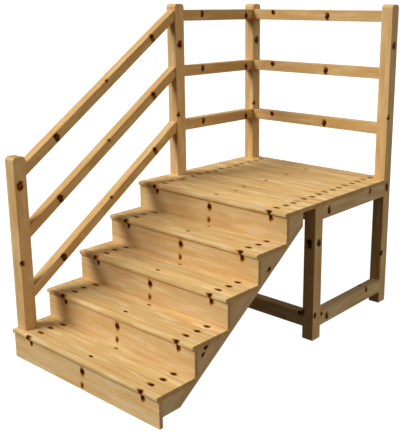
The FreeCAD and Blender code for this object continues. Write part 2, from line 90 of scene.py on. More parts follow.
def add(
    tree: NodeTree, kind: str, sockets: dict | None = None, out: int | str = 0, **settings: object
) -> NodeSocket | None:
    """Add a node with its settings, and fill its sockets with values or links.

    Args:
        tree: the node tree that gets the node.
        kind: the shader node's type, without the words that all of them start with.
        sockets: input name or number, to a value or to the output that feeds it.
        out: the name or number of the output that is wanted.
        settings: the node's own properties.

    Returns:
        That output of the new node, or nothing if the node has no outputs.
    """
    node = tree.nodes.new(f"ShaderNode{kind}")
    for name, setting in settings.items():
        setattr(node, name, setting)
    for socket, content in (sockets or {}).items():
        if isinstance(content, NodeSocket):
            tree.links.new(content, node.inputs[socket])
        else:
            node.inputs[socket].default_value = content
    return node.outputs[out] if len(node.outputs) else None


def fill_ramp(ramp: ColorRamp, stops: Sequence[tuple[float, str]]) -> None:
    """Set a colour ramp's stops.

    Args:
        ramp: the ramp.
        stops: place from 0 to 1 and hex colour of each stop, in order.
    """
    while len(ramp.elements) < len(stops):
        ramp.elements.new(1.0)
    for element, (place, colour) in zip(ramp.elements, stops):
        element.position = place
        element.color = linear(colour)


def blank(name: str) -> tuple[Material, NodeTree]:
    """Start a material that has no nodes yet.

    Args:
        name: its name.

    Returns:
        The material and its empty tree.
    """
    material = bpy.data.materials.new(name)
    material.use_nodes = True
    material.node_tree.nodes.clear()
    return material, material.node_tree


# ---- Finishes --------------------------------------------------------------------------------

# The numbers of a Mix node's two colour inputs and of its colour output.
UNDER, OVER, MIXED = 6, 7, 2

# Across one growth ring, early wood darkens slowly into late wood, which stops short.
RING_STOPS = ((0.0, "000000"), (0.35, "303030"), (0.78, "E0E0E0"), (0.92, "FFFFFF"), (1.0, "000000"))

# From a knot's heart, over its edge at 0.5, to its halo.
KNOT_STOPS = ((0.0, "7A3A06"), (0.36, "854207"), (0.46, "9A5512"), (0.56, "B0772A"), (0.66, "C4964F"))

# Where a timber was cut from the trunk: up to 40 m along it, with the pith within 45 mm of its
# lower edge and 35 to 85 mm off its face.
CUT_SPREAD = (40.0, 0.09, 0.05)
CUT_START = (0.0, -0.045, 0.035)

# The trunk's slow bends, in waves per metre, so they are about 390 by 110 mm. They push the
# rings up to 15 mm out.
BENDS = (2.6, 9.0, 9.0)
BEND_SPREAD = (0.0, 0.03, 0.03)
BEND_START = (0.0, -0.015, -0.015)

# Rings are long cones round the pith, so that they change little along the timber.
CONE = (0.012, 1.0, 1.0)

# Fibres in waves per metre: 56 mm long and 1.1 mm wide. Real ones are far finer, and are drawn
# this coarse so that they catch the light at all.
FIBRES = (18.0, 900.0, 900.0)

# A number that keeps the strips of one panel from matching those of the next.
PANEL_STEP = 7.13


class Slot(Enum):
    """The record's material slots."""

    POSTS = "post_pine"
    RAILS = "rail_pine"
    TREADS = "tread_pine"
    RISERS = "riser_pine"
    FRAME = "frame_pine"
    STEEL = "zinc_steel"


@dataclass(frozen=True)
class GluedPanel:
    """How a panel is glued up from narrow strips, edge to edge, in millimetres.

    Every strip has a knot near each end, and every second one a smaller knot in its middle.
    """

    thick: float = 25.0
    strip: float = 70.67
    first_strip: float = 37.0
    glue_line: float = 3.0
    glue_dark: float = 0.62
    left_knots: float = 155.0
    right_knots: float = 1036.0
    middle_knots: float = 585.0
    scatter: float = 10.0
    middle_scatter: float = 30.0
    knot: float = 10.8
    middle_size: float = 0.62
    oval: tuple[float, float, float] = (0.55, 1.0, 0.5)
    out_of_sight: float = 40.0


@dataclass(frozen=True)
class Streak:
    """Long streaks of another shade, counted in waves per metre along and across the timber.

    They start where a noise reaches the level low, and are at their strongest at high.
    """

    along: float
    across: float
    low: float
    high: float
    most: float
    shade: str


@dataclass(frozen=True)
class PlanedPine:
    """Pine, planed and clear oiled: pale early wood, amber late wood, red-brown knots.

    Planing leaves it smooth with a low satin sheen, and the oil warms it. The growth rings are
    a solid pattern round the pith, so they make streaks along the faces and arcs on the ends.
    Sizes are in millimetres. Real rings are 2 to 4 mm wide, and are drawn coarser to show.
    """

    name: str
    early_wood: str = "DDBC86"
    late_wood: str = "B98A50"
    amber: str = "CF9F5C"
    cream: str = "EFD9AA"
    end_grain: str = "B98A54"
    resin: str = "300C00"
    panel: GluedPanel | None = None
    ring: float = 6.0
    ring_depth: float = 0.32
    uneven: float = 0.07
    pale_streaks: float = 0.35
    end_depth: float = 0.55
    knot_lump: float = 19.0
    knot_ragged: float = 1.2
    knot_swell: float = 2.4
    knot_reach: tuple[float, float] = (0.6, 3.2)
    roughness: float = 0.5
    early_matt: float = 0.04
    late_gloss: float = 0.05
    sheen: float = 0.1
    ior: float = 1.5
    bump: float = 0.25
    bump_height: float = 0.2
    ring_ridge: float = 0.6

    def build(self) -> Material:
        """Make the material.

        Returns:
            The material, which reads each timber's own wood attributes.
        """
        material, tree = blank(self.name)
        place = add(tree, "Attribute", out="Vector", attribute_name="wood")
        seed = add(tree, "Attribute", out="Fac", attribute_name="seed")
        distances = self.named_knots(tree, place)
        line = None
        if self.panel:
            place, seed, line, panel_distances = self.strips(tree, place, seed)
            distances += panel_distances
        knots = distances[0]
        for distance in distances[1:]:
            knots = add(tree, "Math", {0: knots, 1: distance}, operation="MINIMUM")
        knots, patchy = self.ragged(tree, place, knots)
        shifted, rings = self.rings(tree, place, seed, knots)
        colour = self.body_colour(tree, shifted, seed, rings)
        if line:
            mix = {"Factor": line, UNDER: colour, OVER: linear(self.late_wood)}
            colour = add(tree, "Mix", mix, out=MIXED, data_type="RGBA", blend_type="MULTIPLY")
        colour = self.with_ends(tree, colour)
        colour = self.with_knots(tree, colour, knots, patchy)
        self.surface(tree, colour, shifted, rings)
        return material

    def named_knots(self, tree: NodeTree, place: NodeSocket) -> list[NodeSocket]:
        """Measure how far a point is from each of the timber's own knots, in knot widths.

        Args:
            tree: the material's nodes.
            place: the point, measured along, across and through the timber.

        Returns:
            The distance to each knot: under 1 is inside it.
        """
        shape = add(tree, "Attribute", out="Vector", attribute_name="knot_shape")
        sizes = []
        for half in ("knot_wide_a", "knot_wide_b"):
            widths = add(tree, "Attribute", out="Vector", attribute_name=half)
            sizes += list(add(tree, "SeparateXYZ", {0: widths}).node.outputs)
        distances = []
        for number, size in enumerate(sizes, 1):
            centre = add(tree, "Attribute", out="Vector", attribute_name=f"knot_{number}")
            away = add(tree, "VectorMath", {0: place, 1: centre}, operation="SUBTRACT")
            away = add(tree, "VectorMath", {0: away, 1: shape}, operation="MULTIPLY")
            far = add(tree, "VectorMath", {0: away}, out="Value", operation="LENGTH")
            distances.append(add(tree, "Math", {0: far, 1: size}, operation="DIVIDE"))
        return distances

    def strips(
        self, tree: NodeTree, place: NodeSocket, seed: NodeSocket
    ) -> tuple[NodeSocket, NodeSocket, NodeSocket, list[NodeSocket]]:
        """Divide a panel into its glued strips, each with its own grain and knots.

        Args:
            tree: the material's nodes.
            place: the point, measured along, across and through the panel.
            seed: the panel's own number.

        Returns:
            The point moved for its strip, the strip's number, how far the point is into a glue
            line, and the distances to the strip's knots.
        """
        panel = self.panel
        wide = panel.strip * MM
        along, over, through = add(tree, "SeparateXYZ", {0: place}).node.outputs
        first = add(tree, "Math", {0: over, 1: panel.first_strip * MM}, operation="SUBTRACT")
        count = add(tree, "Math", {0: first, 1: wide}, operation="DIVIDE")
        strip = add(tree, "Math", {0: count}, operation="FLOOR")
        share = add(tree, "Math", {0: count, 1: strip}, operation="SUBTRACT")
        across = add(tree, "Math", {0: share, 1: 0.5}, operation="SUBTRACT")
        local = add(tree, "Math", {0: across, 1: wide}, operation="MULTIPLY")
        depth = add(tree, "Math", {0: through, 1: panel.thick * MM}, operation="SUBTRACT")
        own = add(tree, "Math", {0: seed, 1: PANEL_STEP, 2: strip}, operation="MULTIPLY_ADD")
        draw = add(tree, "TexWhiteNoise", {"W": strip}, out="Color", noise_dimensions="1D")
        draws = add(tree, "SeparateColor", {0: draw}).node.outputs

        # A strip with no middle knot has it pushed out of sight.
        odd = add(tree, "Math", {0: strip, 1: 2.0}, operation="FLOORED_MODULO")
        odd = {0: odd, 1: panel.out_of_sight, 2: 1.0}
        rare = add(tree, "Math", odd, operation="MULTIPLY_ADD")
        small = panel.middle_size * panel.knot
        distances = []
        for centre, draw, scatter, size, push in (
            (panel.left_knots, draws[0], panel.scatter, panel.knot, None),
            (panel.right_knots, draws[1], panel.scatter, panel.knot, None),
            (panel.middle_knots, draws[2], panel.middle_scatter, small, rare),
        ):
            spot = {0: draw, 1: 2 * scatter * MM, 2: (centre - scatter) * MM}
            spot = add(tree, "Math", spot, operation="MULTIPLY_ADD")
            away = add(tree, "Math", {0: along, 1: spot}, operation="SUBTRACT")
            away = add(tree, "CombineXYZ", {0: away, 1: local, 2: depth})
            away = add(tree, "VectorMath", {0: away, 1: panel.oval}, operation="MULTIPLY")
            far = add(tree, "VectorMath", {0: away}, out="Value", operation="LENGTH")
            far = add(tree, "Math", {0: far, 1: size * MM}, operation="DIVIDE")
            if push:
                far = add(tree, "Math", {0: far, 1: push}, operation="MULTIPLY")
            distances.append(far)

        # The glue line is drawn wider than the real hairline, so that it still shows from afar.
        edge = add(tree, "Math", {0: across}, operation="ABSOLUTE")
        start = 0.5 - panel.glue_line / panel.strip
        band = {"Value": edge, "From Min": start, "From Max": 0.5, "To Max": panel.glue_dark}
        line = add(tree, "MapRange", band)
        moved = add(tree, "CombineXYZ", {0: along, 1: local, 2: through})
        return moved, own, line, distances

    def ragged(
        self, tree: NodeTree, place: NodeSocket, knots: NodeSocket
    ) -> tuple[NodeSocket, NodeSocket]:
        """Roughen the outline of the knots.

        Args:
            tree: the material's nodes.
            place: the point in the timber.
            knots: the smooth distance to the nearest knot.

        Returns:
            The distance with an uneven edge, and the noise that made it so.
        """
        lumps = {"Vector": place, "Scale": 1 / (self.knot_lump * MM), "Detail": 1.0}
        noise = add(tree, "TexNoise", lumps)
        push = {0: noise, 1: self.knot_ragged, 2: -self.knot_ragged / 2}
        push = add(tree, "Math", push, operation="MULTIPLY_ADD")
        return add(tree, "Math", {0: knots, 1: push}, operation="ADD"), noise

    def rings(
        self, tree: NodeTree, place: NodeSocket, seed: NodeSocket, knots: NodeSocket
    ) -> tuple[NodeSocket, NodeSocket]:
        """Lay the growth rings round the pith, bent a little everywhere and more at knots.

        Args:
            tree: the material's nodes.
            place: the point in the timber.
            seed: the timber's own number, which sets where its pith is.
            knots: distance to the nearest knot.

        Returns:
            The point moved to the timber's own part of the trunk, and the share of late wood.
        """
        draw = add(tree, "TexWhiteNoise", {"W": seed}, out="Color", noise_dimensions="1D")
        heart = {0: draw, 1: CUT_SPREAD, 2: CUT_START}
        heart = add(tree, "VectorMath", heart, operation="MULTIPLY_ADD")
        shifted = add(tree, "VectorMath", {0: place, 1: heart}, operation="ADD")
        slow = add(tree, "VectorMath", {0: shifted, 1: BENDS}, operation="MULTIPLY")
        bend = add(tree, "TexNoise", {"Vector": slow, "Scale": 1.0, "Detail": 2.0}, out="Color")
        bend = {0: bend, 1: BEND_SPREAD, 2: BEND_START}
        bend = add(tree, "VectorMath", bend, operation="MULTIPLY_ADD")
        bent = add(tree, "VectorMath", {0: shifted, 1: bend}, operation="ADD")
        flat = add(tree, "VectorMath", {0: bent, 1: CONE}, operation="MULTIPLY")
        radius = add(tree, "VectorMath", {0: flat}, out="Value", operation="LENGTH")
        ring = self.ring * MM
        near, far = self.knot_reach
        most = self.knot_swell * ring
        swell = {"Value": knots, "From Min": near, "From Max": far, "To Min": most, "To Max": 0.0}
        swell = add(tree, "MapRange", swell, interpolation_type="SMOOTHSTEP")
        radius = add(tree, "Math", {0: radius, 1: swell}, operation="ADD")
        turns = add(tree, "Math", {0: radius, 1: ring}, operation="DIVIDE")
        phase = add(tree, "Math", {0: turns}, operation="FRACT")
        late = add(tree, "ValToRGB", {0: phase})
        fill_ramp(late.node.color_ramp, RING_STOPS)
        return shifted, late

    def body_colour(
        self, tree: NodeTree, shifted: NodeSocket, seed: NodeSocket, rings: NodeSocket
    ) -> NodeSocket:
        """Mix the colours of the clear wood.

        Args:
            tree: the material's nodes.
            shifted: the point in the trunk.
            seed: the timber's own number.
            rings: the share of late wood.

        Returns:
            The colour before ends and knots.
        """
        late = add(tree, "Math", {0: rings, 1: self.ring_depth}, operation="MULTIPLY")
        mix = {"Factor": late, UNDER: linear(self.early_wood), OVER: linear(self.late_wood)}
        colour = add(tree, "Mix", mix, out=MIXED, data_type="RGBA")
        # Amber heartwood a hand long and a finger wide, cream sapwood, and fine dark lines.
        for streak in (
            Streak(2.6, 30.0, 0.42, 0.66, 0.6, self.amber),
            Streak(4.5, 24.0, 0.46, 0.7, self.pale_streaks, self.cream),
            Streak(4.0, 120.0, 0.48, 0.75, 0.4, self.late_wood),
        ):
            waves = (streak.along, streak.across, streak.across)
            long = add(tree, "VectorMath", {0: shifted, 1: waves}, operation="MULTIPLY")
            noise = add(tree, "TexNoise", {"Vector": long, "Scale": 1.0, "Detail": 2.0})
            much = {
                "Value": noise,
                "From Min": streak.low,
                "From Max": streak.high,
                "To Max": streak.most,
            }
            much = add(tree, "MapRange", much, interpolation_type="SMOOTHSTEP")
            mix = {"Factor": much, UNDER: colour, OVER: linear(streak.shade)}
            colour = add(tree, "Mix", mix, out=MIXED, data_type="RGBA")
        draw = add(tree, "TexWhiteNoise", {"W": seed}, noise_dimensions="1D")
        tone = add(tree, "Attribute", out="Fac", attribute_name="tone")
        bright = add(tree, "Math", {0: draw, 1: self.uneven, 2: tone}, operation="MULTIPLY_ADD")
        return add(tree, "VectorMath", {0: colour, "Scale": bright}, operation="SCALE")

    def with_ends(self, tree: NodeTree, colour: NodeSocket) -> NodeSocket:
        """Darken the sawn ends, where the oil soaks in.

        Args:
            tree: the material's nodes.
            colour: the colour of the faces.

        Returns:
            The colour with the ends.
        """
        end = add(tree, "Attribute", out="Fac", attribute_name="end_grain")
        much = add(tree, "Math", {0: end, 1: self.end_depth}, operation="MULTIPLY")
        mix = {"Factor": much, UNDER: colour, OVER: linear(self.end_grain)}
        return add(tree, "Mix", mix, out=MIXED, data_type="RGBA")

    def with_knots(
        self, tree: NodeTree, colour: NodeSocket, knots: NodeSocket, patchy: NodeSocket
    ) -> NodeSocket:
        """Lay the knots over the clear wood: part near-black, part red-brown, an amber halo.

        Args:
            tree: the material's nodes.
            colour: the colour of the clear wood.
            knots: distance to the nearest knot.
            patchy: the noise that shares a knot between its dark and brown parts.

        Returns:
            The finished colour.
        """
        half = add(tree, "Math", {0: knots, 1: 0.5}, operation="MULTIPLY")
        brown = add(tree, "ValToRGB", {0: half})
        fill_ramp(brown.node.color_ramp, KNOT_STOPS)
        # Old resin darkens one side of a knot almost to black, inside its edge only, and the
        # halo fades into the clear wood beyond the edge.
        side, inside, near = [
            add(
                tree,
                "MapRange",
                {"Value": level, "From Min": start, "From Max": end, "To Min": low, "To Max": high},
                interpolation_type="SMOOTHSTEP",
            )
            for level, start, end, low, high in (
                (patchy, 0.6, 0.46, 0.0, 1.0),
                (knots, 1.2, 0.75, 0.0, 1.0),
                (knots, 0.95, 1.7, 1.0, 0.0),
            )
        ]
        tar = add(tree, "Math", {0: side, 1: inside}, operation="MULTIPLY")
        mix = {"Factor": tar, UNDER: brown, OVER: linear(self.resin)}
        knot = add(tree, "Mix", mix, out=MIXED, data_type="RGBA")
        mix = {"Factor": near, UNDER: colour, OVER: knot}
        return add(tree, "Mix", mix, out=MIXED, data_type="RGBA")

    def surface(
        self, tree: NodeTree, colour: NodeSocket, shifted: NodeSocket, rings: NodeSocket
    ) -> None:
        """Finish the wood with its satin sheen and the faint ridges of its grain.

        Args:
            tree: the material's nodes.
            colour: the finished colour.
            shifted: the point in the trunk.
            rings: the share of late wood, which planing leaves proud and a little glossier.
        """
        fine = add(tree, "VectorMath", {0: shifted, 1: FIBRES}, operation="MULTIPLY")
        fibre = add(tree, "TexNoise", {"Vector": fine, "Scale": 1.0, "Detail": 1.0})
        ridge = {0: rings, 1: self.ring_ridge, 2: fibre}
        height = add(tree, "Math", ridge, operation="MULTIPLY_ADD")
        ridges = {"Height": height, "Strength": self.bump, "Distance": self.bump_height * MM}
        gloss = {
            "Value": rings,
            "To Min": self.roughness + self.early_matt,
            "To Max": self.roughness - self.late_gloss,
        }
        shader = {
            "Base Color": colour,
            "Roughness": add(tree, "MapRange", gloss),
            "IOR": self.ior,
            "Specular IOR Level": self.sheen,
            "Normal": add(tree, "Bump", ridges),
        }
        add(tree, "OutputMaterial", {"Surface": add(tree, "BsdfPrincipled", shader)})


@dataclass(frozen=True)
class SawnPine:
    """Pine offcuts straight from the saw: paler, rougher and without oil, for the glue blocks.

    The saw leaves a mark every 3 mm. A wave at scale 1 has a band every 0.31 m.
    """

    name: str
    pale: str = "E2C493"
    dark: str = "C39A62"
    saw_mark: float = 3.0
    saw_depth: float = 0.3
    wave: float = 0.31
    fibres: tuple[float, float, float] = (12.0, 260.0, 260.0)

    def build(self) -> Material:
        """Make the material, on object coordinates.

        Returns:
            The material.
        """
        material, tree = blank(self.name)
        place = add(tree, "TexCoord", out="Object")
        fine = add(tree, "VectorMath", {0: place, 1: self.fibres}, operation="MULTIPLY")
        noise = add(tree, "TexNoise", {"Vector": fine, "Scale": 1.0, "Detail": 3.0})
        colour = add(tree, "ValToRGB", {0: noise})
        fill_ramp(colour.node.color_ramp, [(0.35, self.pale), (0.65, self.dark)])
        bands = {"Vector": place, "Scale": self.wave / (self.saw_mark * MM), "Distortion": 2.0}
        marks = add(tree, "TexWave", bands, out="Fac", bands_direction="X")
        ridges = {"Height": marks, "Strength": 0.4, "Distance": self.saw_depth * MM}
        bump = add(tree, "Bump", ridges)
        shader = {"Base Color": colour, "Roughness": 0.8, "Normal": bump}
        add(tree, "OutputMaterial", {"Surface": add(tree, "BsdfPrincipled", shader)})
        return material


@dataclass(frozen=True)
class ZincPlatedSteel:
    """Pressed and turned steel with bright zinc plating: pale metal with a soft cloudy gloss."""

    name: str
    plating: str = "C9CCD0"
    cloud: str = "A9ADB5"
    grain: float = 4.0
    smoothest: float = 0.24
    roughest: float = 0.46

    def build(self) -> Material:
        """Make the material, on object coordinates.

        Returns:
            The material.
        """
        material, tree = blank(self.name)
        place = add(tree, "TexCoord", out="Object")
        clouds = {"Vector": place, "Scale": 1 / (self.grain * MM), "Detail": 3.0}
        noise = add(tree, "TexNoise", clouds)
        colour = add(tree, "ValToRGB", {0: noise})
        fill_ramp(colour.node.color_ramp, [(0.35, self.plating), (0.65, self.cloud)])
        gloss = {"Value": noise, "To Min": self.smoothest, "To Max": self.roughest}
        gloss = add(tree, "MapRange", gloss)
        shader = {"Base Color": colour, "Metallic": 1.0, "Roughness": gloss}
        add(tree, "OutputMaterial", {"Surface": add(tree, "BsdfPrincipled", shader)})
        return material


@dataclass(frozen=True)
class PaperSweep:
    """Seamless matt studio paper, lit evenly enough to read as white."""

    name: str
    paper: str = "7C7C7C"
    light: str = "FFFFFF"
    glow: float = 0.98
    roughness: float = 0.95

    def build(self) -> Material:
        """Make the material, which also carries the studio's own even light.

        Returns:
            The material.
        """
        material, tree = blank(self.name)
        shader = {
            "Base Color": linear(self.paper),
            "Roughness": self.roughness,
            "Specular IOR Level": 0.0,
            "Emission Color": linear(self.light),
            "Emission Strength": self.glow,
        }
        add(tree, "OutputMaterial", {"Surface": add(tree, "BsdfPrincipled", shader)})
        return material


# ---- Timber ----------------------------------------------------------------------------------

RISE = 165.0
GOING = 237.0
PITCH = math.atan2(RISE, GOING)

# Edges that turn through more than this are eased.
SHARP = math.radians(35)

# A face whose normal lies this much along an axis faces that way.
FACING = 0.8

# Timbers are cut from this many lengths of trunk; a timber's name decides which.
TRUNKS = 97

# A knot is an oval: as wide as it says along or across the timber, and narrower the other ways.
LYING_KNOT = (0.66, 1.0, 0.8)
UPRIGHT_KNOT = (1.0, 0.7, 0.8)


class Grain(Enum):
    """How a timber's grain lies: the directions along it, across its face and through it."""

    UPRIGHT = ((0, 0, 1), (1, 0, 0), (0, 1, 0))
    ACROSS_FLAT = ((1, 0, 0), (0, 1, 0), (0, 0, 1))
    ACROSS_ON_EDGE = ((1, 0, 0), (0, 0, 1), (0, 1, 0))
    FRONT_TO_BACK = ((0, 1, 0), (0, 0, 1), (1, 0, 0))
    UP_THE_PITCH = (
        (0, math.cos(PITCH), math.sin(PITCH)),
        (0, -math.sin(PITCH), math.cos(PITCH)),
        (1, 0, 0),
    )


@dataclass(frozen=True)
class Knot:
    """A knot: its centre in millimetres from the frame part's lowest corner, and half width."""

    x: float
    y: float
    z: float
    wide: float


def squared(low: Vector, high: Vector) -> BMesh:
    """Start a squared timber between its lowest and highest corners.

    Args:
        low: the lowest corner, in metres.
        high: the highest corner.

    Returns:
        A closed block.
    """
    shape = bmesh.new()
    bmesh.ops.create_cube(shape, size=1.0)
    bmesh.ops.scale(shape, vec=high - low, verts=shape.verts)
    bmesh.ops.translate(shape, vec=(low + high) / 2, verts=shape.verts)
    return shape


def trimmed(node: str, axis: int, start: float, end: float) -> BMesh:
    """Start a squared timber without its tenons, which are out of sight in its neighbours.

    Args:
        node: the frame part that it stands for.
        axis: the axis that it runs along: 0 for left to right, 1 for front to back.
        start: where it comes out of its first neighbour, in metres on that axis.
        end: where it goes into the next.

    Returns:
        A closed block.
    """
    low, high = (corner.copy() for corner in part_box(node))
    low[axis], high[axis] = start, end
    return squared(low, high)


def draw_out(
    shape: BMesh, faces: Sequence[BMFace], way: Vector | tuple[float, float, float]
) -> None:
    """Draw some faces out of a timber.

    Args:
        shape: the timber.
        faces: the faces.
        way: which way and how far they go, in metres.
    """
    drawn = bmesh.ops.extrude_face_region(shape, geom=faces)["geom"]
    bmesh.ops.translate(shape, vec=way, verts=[part for part in drawn if isinstance(part, BMVert)])


def sawn_to(outline: Sequence[Vector], thickness: Vector) -> BMesh:
    """Start a board that is sawn to an outline.

    Args:
        outline: the corners of one face, in order.
        thickness: the way and distance from that face to the other.

    Returns:
        A closed board with its faces outwards.
    """
    shape = bmesh.new()
    draw_out(shape, [shape.faces.new([shape.verts.new(corner) for corner in outline])], thickness)
    bmesh.ops.recalc_face_normals(shape, faces=shape.faces)
    return shape


def ease(shape: BMesh, edges: Iterable[BMEdge], radius: float, steps: int) -> None:
    """Round some edges of a timber.

    Args:
        shape: the timber.
        edges: the edges to round.
        radius: in millimetres.
        steps: facets in the rounding.
    """
    bmesh.ops.bevel(
        shape,
        geom=list(edges),
        offset=radius * MM,
        offset_type="OFFSET",
        segments=steps,
        profile=0.5,
        affect="EDGES",
        clamp_overlap=True,
        material=-1,
    )


def level_edges(shape: BMesh, axis: int, place: float) -> list[BMEdge]:
    """Find the edges that run left to right at one depth or height.

    Args:
        shape: the timber.
        axis: 1 for a depth, 2 for a height.
        place: that depth or height, in metres.

    Returns:
        The edges.
    """
    found = []
    for edge in shape.edges:
        start, end = (vertex.co for vertex in edge.verts)
        there = abs(start[axis] - place) < LEVEL and abs(end[axis] - place) < LEVEL
        if there and abs(start.y - end.y) < LEVEL and abs(start.z - end.z) < LEVEL:
            found.append(edge)
    return found


def pierced(shape: BMesh, low: Vector, high: Vector) -> None:
    """Cut a squared hole down through a board.

    Args:
        shape: the board.
        low: the hole's lowest corner; its height is not used.
        high: the hole's highest corner; its height is not used.
    """
    for way in ((1, 0, 0), (0, 1, 0)):
        for corner in (low, high):
            geometry = [*shape.verts, *shape.edges, *shape.faces]
            bmesh.ops.bisect_plane(shape, geom=geometry, plane_co=corner, plane_no=way)
    lids = []
    for face in shape.faces:
        middle = face.calc_center_median()
        inside = low.x < middle.x < high.x and low.y < middle.y < high.y
        if inside and abs(face.normal.z) > FACING:
            lids.append(face)
    rims = list({edge for face in lids for edge in face.edges})
    bmesh.ops.delete(shape, geom=lids, context="FACES_ONLY")
    bmesh.ops.bridge_loops(shape, edges=rims)
    bmesh.ops.recalc_face_normals(shape, faces=shape.faces)


@dataclass
class Finishes:
    """Every finish on the block, each made once, when it is first wanted."""

    posts: PlanedPine = PlanedPine("pine_planed_oiled_posts", early_wood="DBB57F")
    rails: PlanedPine = PlanedPine("pine_planed_oiled_rails", early_wood="D0A86F", ring=5.0)
    treads: PlanedPine = PlanedPine(
        "pine_edge_glued_oiled_treads",
        early_wood="DEB97E",
        panel=GluedPanel(),
        ring=9.0,
        ring_depth=0.16,
        uneven=0.2,
        pale_streaks=0.6,
    )
    risers: PlanedPine = PlanedPine(
        "pine_planed_oiled_risers", early_wood="D9B684", ring_depth=0.22
    )
    frame: PlanedPine = PlanedPine(
        "pine_planed_oiled_frame", early_wood="D6B78C", amber="C9A068", late_wood="B08A58"
    )
    blocks: SawnPine = SawnPine("pine_rough_sawn_glue_blocks")
    steel: ZincPlatedSteel = ZincPlatedSteel("steel_zinc_plated_fixings")
    made: dict[str, Material] = field(default_factory=dict)

    def get(self, kind: str) -> Material:
        """Give the material of a kind of part.

        Args:
            kind: posts, rails, treads, risers, frame, blocks or steel.

        Returns:
            The material.
        """
        if kind not in self.made:
            self.made[kind] = getattr(self, kind).build()
        return self.made[kind]


@dataclass
class Timber:
    """One timber of the block, with the frame part that it stands for."""

    node: str
    slot: Slot
    grain: Grain
    knots: Sequence[Knot] = ()
    knot_oval: tuple[float, float, float] = LYING_KNOT
    eased: float = 2.5
    tone: float = 0.96

    def finish(self, shape: BMesh, finishes: Finishes) -> None:
        """Ease the timber's edges, give it its wood and hand it over to the frame.

        Args:
            shape: the timber, in the frame's place.
            finishes: the block's finishes.
        """
        edges = [edge for edge in shape.edges if edge.calc_face_angle(0.0) > SHARP]
        ease(shape, edges, self.eased, 3)
        for face in shape.faces:
            face.smooth = True
        mesh = bpy.data.meshes.new(f"{self.node}_pine")
        shape.to_mesh(mesh)
        shape.free()
        mesh.materials.append(finishes.get(self.slot.name.lower()))
        self.mark_wood(mesh)
        piece = bpy.data.objects.new(f"{self.node}_pine", mesh)
        bpy.context.scene.collection.objects.link(piece)
        normals = piece.modifiers.new("true_faces", "WEIGHTED_NORMAL")
        normals.keep_sharp = True
        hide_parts(self.node)
        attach(piece, "root")
        LOG.info("%s: %d faces, %s", piece.name, len(mesh.polygons), self.slot.value)

    def mark_wood(self, mesh: Mesh) -> None:
        """Store where each point lies in the timber, which faces are ends, and the knots.

        Args:
            mesh: the timber's mesh.
        """
        axes = Matrix(self.grain.value)
        low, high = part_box(self.node)
        corners = [
            axes @ Vector((x, y, z))
            for x in (low.x, high.x)
            for y in (low.y, high.y)
            for z in (low.z, high.z)
        ]
        start = Vector([min(corner[i] for corner in corners) for i in range(3)])
        wood = mesh.attributes.new("wood", "FLOAT_VECTOR", "POINT")
        for vertex in mesh.vertices:
            wood.data[vertex.index].vector = axes @ vertex.co - start
        ends = mesh.attributes.new("end_grain", "FLOAT", "FACE")
        for face in mesh.polygons:
            ends.data[face.index].value = float(abs(face.normal.dot(axes[0])) > FACING)

        spots = [axes @ (low + Vector((k.x, k.y, k.z)) * MM) - start for k in self.knots]
        widths = [k.wide * MM for k in self.knots]
        missing = MOST_KNOTS - len(self.knots)
        spots += [NOWHERE] * missing
        widths += [1 * MM] * missing
        constants = {f"knot_{i}": tuple(spot) for i, spot in enumerate(spots, 1)}
        constants["knot_wide_a"] = tuple(widths[:3])
        constants["knot_wide_b"] = tuple(widths[3:])
        constants["knot_shape"] = self.knot_oval
        for name, content in constants.items():
            store = mesh.attributes.new(name, "FLOAT_VECTOR", "POINT")
            store.data.foreach_set("vector", content * len(mesh.vertices))
        for name, number in (("seed", sum(self.node.encode()) % TRUNKS), ("tone", self.tone)):
            store = mesh.attributes.new(name, "FLOAT", "POINT")
            store.data.foreach_set("value", [float(number)] * len(mesh.vertices))


# ---- Sub-assemblies --------------------------------------------------------------------------


